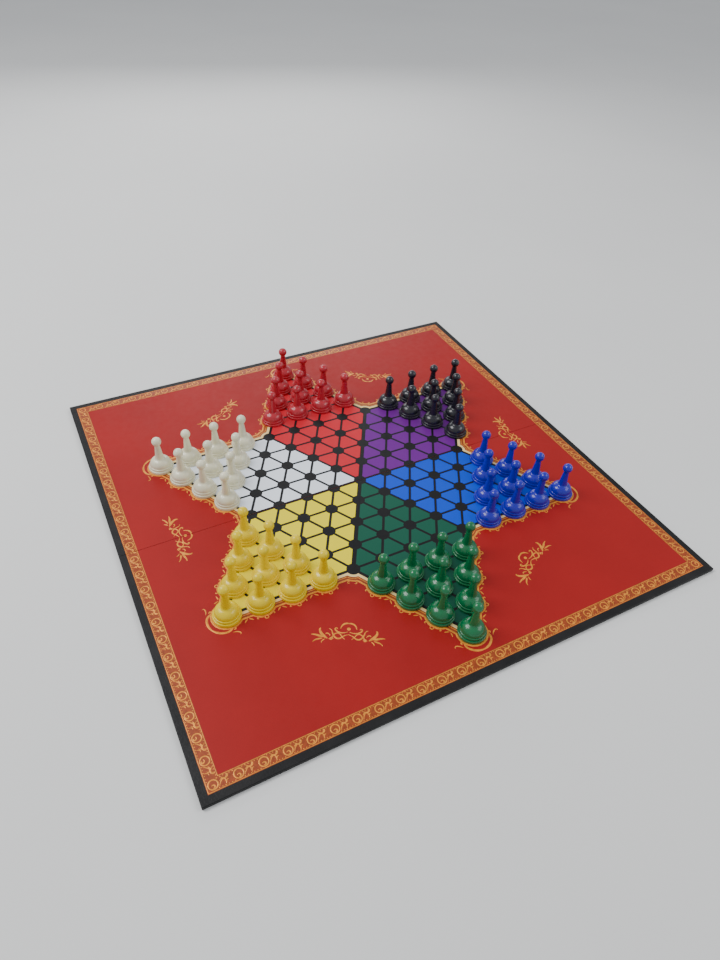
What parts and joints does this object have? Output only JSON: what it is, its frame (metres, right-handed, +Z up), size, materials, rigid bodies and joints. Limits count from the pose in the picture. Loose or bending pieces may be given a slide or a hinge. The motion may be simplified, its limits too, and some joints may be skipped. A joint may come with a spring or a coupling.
{
  "type": "chinese checkers board",
  "caption": "Square folding star board for chinese checkers, printed paper over greyboard with a cloth tape hinge, with its domed ball-top pegs standing in the star's arms.",
  "frame": {"origin": "on the surface the board stands on, under the middle of the unfolded board", "axes": "+Z up out of the printed face; the fold line runs along X; +Y points from the near half (green arm's side) to the far half (red arm's side)"},
  "size_m": [0.36, 0.36, 0.0312],
  "materials": {
    "greyboard": "matte",
    "black_paper": "satin",
    "red_print": "satin",
    "black_cloth": "matte",
    "red_plastic": "gloss",
    "black_plastic": "gloss",
    "blue_plastic": "gloss",
    "green_plastic": "gloss",
    "yellow_plastic": "gloss",
    "white_plastic": "gloss",
    "gold_ink": "satin",
    "cream_ink": "satin",
    "black_ink": "satin",
    "cell_inks": "satin"
  },
  "bodies": {
    "near_half": {"near_core": "greyboard", "near_wrap": "black_paper", "near_face_sheet": "red_print", "near_hinge_tape": "black_cloth"},
    "far_half": {"far_core": "greyboard", "far_wrap": "black_paper", "far_face_sheet": "red_print", "far_hinge_tape": "black_cloth"},
    "red_peg_front_1": {"red_peg_front_1": "red_plastic"},
    "red_peg_front_2": {"red_peg_front_2": "red_plastic"},
    "red_peg_front_3": {"red_peg_front_3": "red_plastic"},
    "red_peg_front_4": {"red_peg_front_4": "red_plastic"},
    "red_peg_second_1": {"red_peg_second_1": "red_plastic"},
    "red_peg_second_2": {"red_peg_second_2": "red_plastic"},
    "red_peg_second_3": {"red_peg_second_3": "red_plastic"},
    "red_pegs_tip": {"red_pegs_tip": "red_plastic"},
    "black_peg_front_1": {"black_peg_front_1": "black_plastic"},
    "black_peg_front_2": {"black_peg_front_2": "black_plastic"},
    "black_peg_front_3": {"black_peg_front_3": "black_plastic"},
    "black_peg_front_4": {"black_peg_front_4": "black_plastic"},
    "black_peg_second_1": {"black_peg_second_1": "black_plastic"},
    "black_peg_second_2": {"black_peg_second_2": "black_plastic"},
    "black_peg_second_3": {"black_peg_second_3": "black_plastic"},
    "black_pegs_tip": {"black_pegs_tip": "black_plastic"},
    "blue_peg_front_1": {"blue_peg_front_1": "blue_plastic"},
    "blue_peg_front_2": {"blue_peg_front_2": "blue_plastic"},
    "blue_peg_front_3": {"blue_peg_front_3": "blue_plastic"},
    "blue_peg_front_4": {"blue_peg_front_4": "blue_plastic"},
    "blue_peg_second_1": {"blue_peg_second_1": "blue_plastic"},
    "blue_peg_second_2": {"blue_peg_second_2": "blue_plastic"},
    "blue_peg_second_3": {"blue_peg_second_3": "blue_plastic"},
    "blue_pegs_tip": {"blue_pegs_tip": "blue_plastic"},
    "green_peg_front_1": {"green_peg_front_1": "green_plastic"},
    "green_peg_front_2": {"green_peg_front_2": "green_plastic"},
    "green_peg_front_3": {"green_peg_front_3": "green_plastic"},
    "green_peg_front_4": {"green_peg_front_4": "green_plastic"},
    "green_peg_second_1": {"green_peg_second_1": "green_plastic"},
    "green_peg_second_2": {"green_peg_second_2": "green_plastic"},
    "green_peg_second_3": {"green_peg_second_3": "green_plastic"},
    "green_pegs_tip": {"green_pegs_tip": "green_plastic"},
    "yellow_peg_front_1": {"yellow_peg_front_1": "yellow_plastic"},
    "yellow_peg_front_2": {"yellow_peg_front_2": "yellow_plastic"},
    "yellow_peg_front_3": {"yellow_peg_front_3": "yellow_plastic"},
    "yellow_peg_front_4": {"yellow_peg_front_4": "yellow_plastic"},
    "yellow_peg_second_1": {"yellow_peg_second_1": "yellow_plastic"},
    "yellow_peg_second_2": {"yellow_peg_second_2": "yellow_plastic"},
    "yellow_peg_second_3": {"yellow_peg_second_3": "yellow_plastic"},
    "yellow_pegs_tip": {"yellow_pegs_tip": "yellow_plastic"},
    "white_peg_front_1": {"white_peg_front_1": "white_plastic"},
    "white_peg_front_2": {"white_peg_front_2": "white_plastic"},
    "white_peg_front_3": {"white_peg_front_3": "white_plastic"},
    "white_peg_front_4": {"white_peg_front_4": "white_plastic"},
    "white_peg_second_1": {"white_peg_second_1": "white_plastic"},
    "white_peg_second_2": {"white_peg_second_2": "white_plastic"},
    "white_peg_second_3": {"white_peg_second_3": "white_plastic"},
    "white_pegs_tip": {"white_pegs_tip": "white_plastic"}
  },
  "joints": [
    {"name": "fold", "type": "hinge", "parent": "near_half", "child": "far_half", "pos_m": [0, 0, -0.00015], "axis": [-1, 0, 0], "range_deg": [0, 180]},
    {"name": "red_peg_front_1_lift", "type": "slide", "parent": "far_half", "child": "red_peg_front_1", "axis": [0, 0, 1], "range_m": [0, 0.04]},
    {"name": "red_peg_front_2_lift", "type": "slide", "parent": "far_half", "child": "red_peg_front_2", "axis": [0, 0, 1], "range_m": [0, 0.04]},
    {"name": "red_peg_front_3_lift", "type": "slide", "parent": "far_half", "child": "red_peg_front_3", "axis": [0, 0, 1], "range_m": [0, 0.04]},
    {"name": "red_peg_front_4_lift", "type": "slide", "parent": "far_half", "child": "red_peg_front_4", "axis": [0, 0, 1], "range_m": [0, 0.04]},
    {"name": "red_peg_second_1_lift", "type": "slide", "parent": "far_half", "child": "red_peg_second_1", "axis": [0, 0, 1], "range_m": [0, 0.04]},
    {"name": "red_peg_second_2_lift", "type": "slide", "parent": "far_half", "child": "red_peg_second_2", "axis": [0, 0, 1], "range_m": [0, 0.04]},
    {"name": "red_peg_second_3_lift", "type": "slide", "parent": "far_half", "child": "red_peg_second_3", "axis": [0, 0, 1], "range_m": [0, 0.04]},
    {"name": "red_pegs_tip_lift", "type": "slide", "parent": "far_half", "child": "red_pegs_tip", "axis": [0, 0, 1], "range_m": [0, 0.04]},
    {"name": "black_peg_front_1_lift", "type": "slide", "parent": "far_half", "child": "black_peg_front_1", "axis": [0, 0, 1], "range_m": [0, 0.04]},
    {"name": "black_peg_front_2_lift", "type": "slide", "parent": "far_half", "child": "black_peg_front_2", "axis": [0, 0, 1], "range_m": [0, 0.04]},
    {"name": "black_peg_front_3_lift", "type": "slide", "parent": "far_half", "child": "black_peg_front_3", "axis": [0, 0, 1], "range_m": [0, 0.04]},
    {"name": "black_peg_front_4_lift", "type": "slide", "parent": "far_half", "child": "black_peg_front_4", "axis": [0, 0, 1], "range_m": [0, 0.04]},
    {"name": "black_peg_second_1_lift", "type": "slide", "parent": "far_half", "child": "black_peg_second_1", "axis": [0, 0, 1], "range_m": [0, 0.04]},
    {"name": "black_peg_second_2_lift", "type": "slide", "parent": "far_half", "child": "black_peg_second_2", "axis": [0, 0, 1], "range_m": [0, 0.04]},
    {"name": "black_peg_second_3_lift", "type": "slide", "parent": "far_half", "child": "black_peg_second_3", "axis": [0, 0, 1], "range_m": [0, 0.04]},
    {"name": "black_pegs_tip_lift", "type": "slide", "parent": "far_half", "child": "black_pegs_tip", "axis": [0, 0, 1], "range_m": [0, 0.04]},
    {"name": "blue_peg_front_1_lift", "type": "slide", "parent": "near_half", "child": "blue_peg_front_1", "axis": [0, 0, 1], "range_m": [0, 0.04]},
    {"name": "blue_peg_front_2_lift", "type": "slide", "parent": "near_half", "child": "blue_peg_front_2", "axis": [0, 0, 1], "range_m": [0, 0.04]},
    {"name": "blue_peg_front_3_lift", "type": "slide", "parent": "near_half", "child": "blue_peg_front_3", "axis": [0, 0, 1], "range_m": [0, 0.04]},
    {"name": "blue_peg_front_4_lift", "type": "slide", "parent": "near_half", "child": "blue_peg_front_4", "axis": [0, 0, 1], "range_m": [0, 0.04]},
    {"name": "blue_peg_second_1_lift", "type": "slide", "parent": "near_half", "child": "blue_peg_second_1", "axis": [0, 0, 1], "range_m": [0, 0.04]},
    {"name": "blue_peg_second_2_lift", "type": "slide", "parent": "near_half", "child": "blue_peg_second_2", "axis": [0, 0, 1], "range_m": [0, 0.04]},
    {"name": "blue_peg_second_3_lift", "type": "slide", "parent": "near_half", "child": "blue_peg_second_3", "axis": [0, 0, 1], "range_m": [0, 0.04]},
    {"name": "blue_pegs_tip_lift", "type": "slide", "parent": "near_half", "child": "blue_pegs_tip", "axis": [0, 0, 1], "range_m": [0, 0.04]},
    {"name": "green_peg_front_1_lift", "type": "slide", "parent": "near_half", "child": "green_peg_front_1", "axis": [0, 0, 1], "range_m": [0, 0.04]},
    {"name": "green_peg_front_2_lift", "type": "slide", "parent": "near_half", "child": "green_peg_front_2", "axis": [0, 0, 1], "range_m": [0, 0.04]},
    {"name": "green_peg_front_3_lift", "type": "slide", "parent": "near_half", "child": "green_peg_front_3", "axis": [0, 0, 1], "range_m": [0, 0.04]},
    {"name": "green_peg_front_4_lift", "type": "slide", "parent": "near_half", "child": "green_peg_front_4", "axis": [0, 0, 1], "range_m": [0, 0.04]},
    {"name": "green_peg_second_1_lift", "type": "slide", "parent": "near_half", "child": "green_peg_second_1", "axis": [0, 0, 1], "range_m": [0, 0.04]},
    {"name": "green_peg_second_2_lift", "type": "slide", "parent": "near_half", "child": "green_peg_second_2", "axis": [0, 0, 1], "range_m": [0, 0.04]},
    {"name": "green_peg_second_3_lift", "type": "slide", "parent": "near_half", "child": "green_peg_second_3", "axis": [0, 0, 1], "range_m": [0, 0.04]},
    {"name": "green_pegs_tip_lift", "type": "slide", "parent": "near_half", "child": "green_pegs_tip", "axis": [0, 0, 1], "range_m": [0, 0.04]},
    {"name": "yellow_peg_front_1_lift", "type": "slide", "parent": "near_half", "child": "yellow_peg_front_1", "axis": [0, 0, 1], "range_m": [0, 0.04]},
    {"name": "yellow_peg_front_2_lift", "type": "slide", "parent": "near_half", "child": "yellow_peg_front_2", "axis": [0, 0, 1], "range_m": [0, 0.04]},
    {"name": "yellow_peg_front_3_lift", "type": "slide", "parent": "near_half", "child": "yellow_peg_front_3", "axis": [0, 0, 1], "range_m": [0, 0.04]},
    {"name": "yellow_peg_front_4_lift", "type": "slide", "parent": "near_half", "child": "yellow_peg_front_4", "axis": [0, 0, 1], "range_m": [0, 0.04]},
    {"name": "yellow_peg_second_1_lift", "type": "slide", "parent": "near_half", "child": "yellow_peg_second_1", "axis": [0, 0, 1], "range_m": [0, 0.04]},
    {"name": "yellow_peg_second_2_lift", "type": "slide", "parent": "near_half", "child": "yellow_peg_second_2", "axis": [0, 0, 1], "range_m": [0, 0.04]},
    {"name": "yellow_peg_second_3_lift", "type": "slide", "parent": "near_half", "child": "yellow_peg_second_3", "axis": [0, 0, 1], "range_m": [0, 0.04]},
    {"name": "yellow_pegs_tip_lift", "type": "slide", "parent": "near_half", "child": "yellow_pegs_tip", "axis": [0, 0, 1], "range_m": [0, 0.04]},
    {"name": "white_peg_front_1_lift", "type": "slide", "parent": "far_half", "child": "white_peg_front_1", "axis": [0, 0, 1], "range_m": [0, 0.04]},
    {"name": "white_peg_front_2_lift", "type": "slide", "parent": "far_half", "child": "white_peg_front_2", "axis": [0, 0, 1], "range_m": [0, 0.04]},
    {"name": "white_peg_front_3_lift", "type": "slide", "parent": "far_half", "child": "white_peg_front_3", "axis": [0, 0, 1], "range_m": [0, 0.04]},
    {"name": "white_peg_front_4_lift", "type": "slide", "parent": "far_half", "child": "white_peg_front_4", "axis": [0, 0, 1], "range_m": [0, 0.04]},
    {"name": "white_peg_second_1_lift", "type": "slide", "parent": "far_half", "child": "white_peg_second_1", "axis": [0, 0, 1], "range_m": [0, 0.04]},
    {"name": "white_peg_second_2_lift", "type": "slide", "parent": "far_half", "child": "white_peg_second_2", "axis": [0, 0, 1], "range_m": [0, 0.04]},
    {"name": "white_peg_second_3_lift", "type": "slide", "parent": "far_half", "child": "white_peg_second_3", "axis": [0, 0, 1], "range_m": [0, 0.04]},
    {"name": "white_pegs_tip_lift", "type": "slide", "parent": "far_half", "child": "white_pegs_tip", "axis": [0, 0, 1], "range_m": [0, 0.04]}
  ]
}
